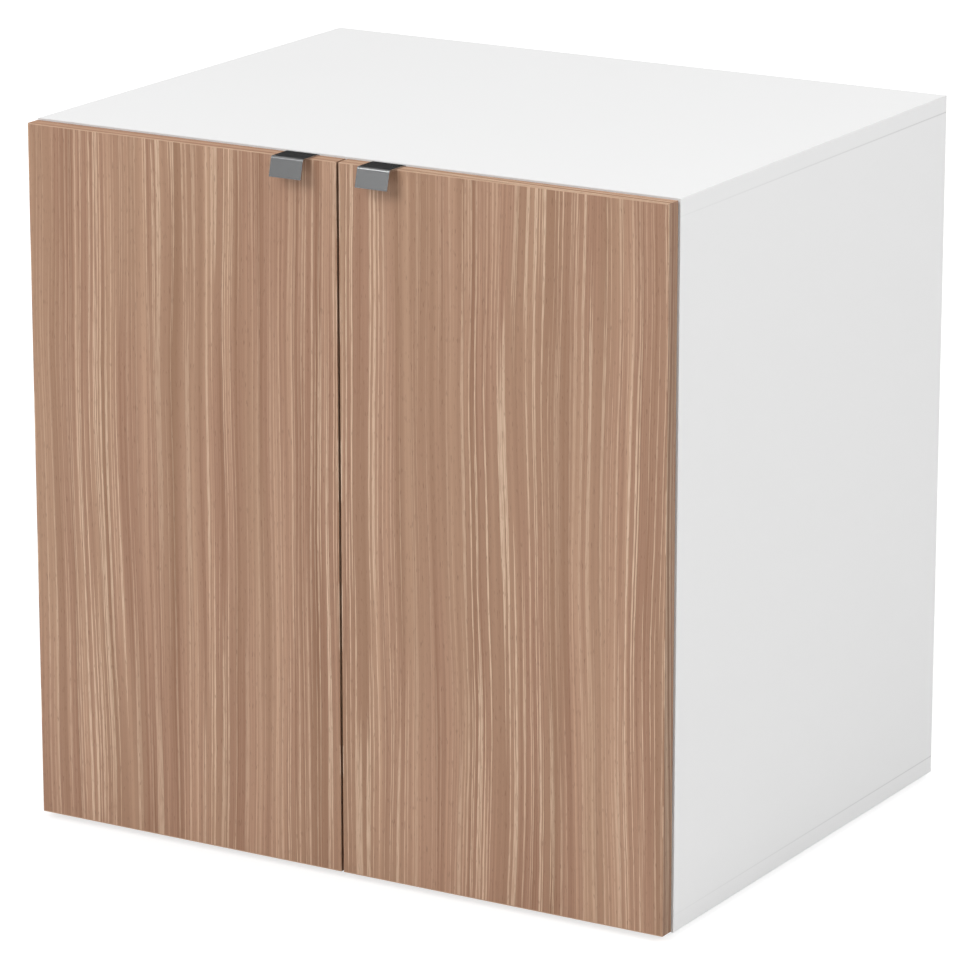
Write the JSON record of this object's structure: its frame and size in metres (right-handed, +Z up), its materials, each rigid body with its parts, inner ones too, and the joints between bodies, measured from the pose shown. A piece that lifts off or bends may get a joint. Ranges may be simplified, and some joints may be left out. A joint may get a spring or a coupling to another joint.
{
  "type": "cube storage cabinet",
  "caption": "Cube-shaped white board cabinet with wood-faced overlay doors on concealed cup hinges, folded steel edge pulls, an adjustable shelf and low floor glides.",
  "frame": {"origin": "middle of the footprint on the floor, half-way between the sides and between the pull lips and the carcass back", "axes": "+Z up, -Y out of the doors towards the user, +X towards the right-hand door as the user sees it"},
  "size_m": [0.762, 0.6288, 0.762],
  "materials": {
    "white_board": "smooth matt white melamine on particleboard",
    "white_band": "matt white edge strip",
    "white_hardboard": "matt white faced hardboard",
    "walnut_board": "vertical straight-grained brown wood face, satin",
    "walnut_band": "matching wood edge strip, satin",
    "pull_steel": "brushed",
    "hinge_nickel": "nickel-plated pressed steel",
    "screw_zinc": "zinc-plated",
    "cam_zinc": "cast zinc alloy, dull",
    "cover_plastic": "matt white",
    "beech": "plain turned beech",
    "nylon": "off-white nylon",
    "clear_bumper": "translucent soft polyurethane"
  },
  "bodies": {
    "carcass": {"top_panel": "white_board", "bottom_panel": "white_board", "left_side_panel": "white_board", "right_side_panel": "white_board", "shelf": "white_board", "top_edge_bands": "white_band", "bottom_edge_bands": "white_band", "left_side_edge_band": "white_band", "right_side_edge_band": "white_band", "shelf_edge_band": "white_band", "back_panel": "white_hardboard", "glides": "nylon", "shelf_pins": "screw_zinc", "cam_bolts": "screw_zinc", "arm_screws": "screw_zinc", "plate_screws": "screw_zinc", "cam_locks": "cam_zinc", "cam_covers": "cover_plastic", "dowels": "beech", "arm_pins": "hinge_nickel", "left_upper_hinge_plate": "hinge_nickel", "left_upper_hinge_arm": "hinge_nickel", "left_lower_hinge_plate": "hinge_nickel", "left_lower_hinge_arm": "hinge_nickel", "right_upper_hinge_plate": "hinge_nickel", "right_upper_hinge_arm": "hinge_nickel", "right_lower_hinge_plate": "hinge_nickel", "right_lower_hinge_arm": "hinge_nickel"},
    "left_door_leaf": {"left_door": "walnut_board", "left_door_edge_bands": "walnut_band", "left_pull": "pull_steel", "left_pull_screws": "screw_zinc", "left_cup_screws": "screw_zinc", "left_bumpers": "clear_bumper", "left_cup_pins": "hinge_nickel", "left_upper_hinge_cup": "hinge_nickel", "left_lower_hinge_cup": "hinge_nickel"},
    "left_upper_outer_link": {"left_upper_outer_links": "hinge_nickel"},
    "left_upper_inner_link": {"left_upper_inner_link": "hinge_nickel"},
    "left_lower_outer_link": {"left_lower_outer_links": "hinge_nickel"},
    "left_lower_inner_link": {"left_lower_inner_link": "hinge_nickel"},
    "right_door_leaf": {"right_door": "walnut_board", "right_door_edge_bands": "walnut_band", "right_pull": "pull_steel", "right_pull_screws": "screw_zinc", "right_cup_screws": "screw_zinc", "right_bumpers": "clear_bumper", "right_cup_pins": "hinge_nickel", "right_upper_hinge_cup": "hinge_nickel", "right_lower_hinge_cup": "hinge_nickel"},
    "right_upper_outer_link": {"right_upper_outer_links": "hinge_nickel"},
    "right_upper_inner_link": {"right_upper_inner_link": "hinge_nickel"},
    "right_lower_outer_link": {"right_lower_outer_links": "hinge_nickel"},
    "right_lower_inner_link": {"right_lower_inner_link": "hinge_nickel"}
  },
  "joints": [
    {"name": "left_door_swing", "type": "hinge", "parent": "left_upper_outer_link", "child": "left_door_leaf", "pos_m": [-0.36636, -0.28113, 0.6605], "axis": [0, 0, -1], "range_deg": [0, 162.75]},
    {"name": "left_upper_outer_link_turn", "type": "hinge", "parent": "carcass", "child": "left_upper_outer_link", "pos_m": [-0.34861, -0.28109, 0.6605], "axis": [0, 0, 1], "range_deg": [0, 57.8]},
    {"name": "left_upper_inner_link_turn", "type": "hinge", "parent": "carcass", "child": "left_upper_inner_link", "pos_m": [-0.34306, -0.25954, 0.6605], "axis": [0, 0, 1], "range_deg": [0, 29.98]},
    {"name": "left_lower_outer_link_turn", "type": "hinge", "parent": "carcass", "child": "left_lower_outer_link", "pos_m": [-0.34861, -0.28109, 0.1065], "axis": [0, 0, 1], "range_deg": [0, 57.8]},
    {"name": "left_lower_inner_link_turn", "type": "hinge", "parent": "carcass", "child": "left_lower_inner_link", "pos_m": [-0.34306, -0.25954, 0.1065], "axis": [0, 0, 1], "range_deg": [0, 29.98]},
    {"name": "right_door_swing", "type": "hinge", "parent": "right_upper_outer_link", "child": "right_door_leaf", "pos_m": [0.36636, -0.28113, 0.6605], "axis": [0, 0, 1], "range_deg": [0, 162.75]},
    {"name": "right_upper_outer_link_turn", "type": "hinge", "parent": "carcass", "child": "right_upper_outer_link", "pos_m": [0.34861, -0.28109, 0.6605], "axis": [0, 0, -1], "range_deg": [0, 57.8]},
    {"name": "right_upper_inner_link_turn", "type": "hinge", "parent": "carcass", "child": "right_upper_inner_link", "pos_m": [0.34306, -0.25954, 0.6605], "axis": [0, 0, -1], "range_deg": [0, 29.98]},
    {"name": "right_lower_outer_link_turn", "type": "hinge", "parent": "carcass", "child": "right_lower_outer_link", "pos_m": [0.34861, -0.28109, 0.1065], "axis": [0, 0, -1], "range_deg": [0, 57.8]},
    {"name": "right_lower_inner_link_turn", "type": "hinge", "parent": "carcass", "child": "right_lower_inner_link", "pos_m": [0.34306, -0.25954, 0.1065], "axis": [0, 0, -1], "range_deg": [0, 29.98]}
  ],
  "couplings": [
    {"joint": "left_upper_outer_link_turn", "follows": "left_door_swing", "ratio": 0.35484},
    {"joint": "left_upper_inner_link_turn", "follows": "left_door_swing", "ratio": 0.18387},
    {"joint": "left_lower_outer_link_turn", "follows": "left_door_swing", "ratio": 0.35484},
    {"joint": "left_lower_inner_link_turn", "follows": "left_door_swing", "ratio": 0.18387},
    {"joint": "right_upper_outer_link_turn", "follows": "right_door_swing", "ratio": 0.35484},
    {"joint": "right_upper_inner_link_turn", "follows": "right_door_swing", "ratio": 0.18387},
    {"joint": "right_lower_outer_link_turn", "follows": "right_door_swing", "ratio": 0.35484},
    {"joint": "right_lower_inner_link_turn", "follows": "right_door_swing", "ratio": 0.18387}
  ]
}
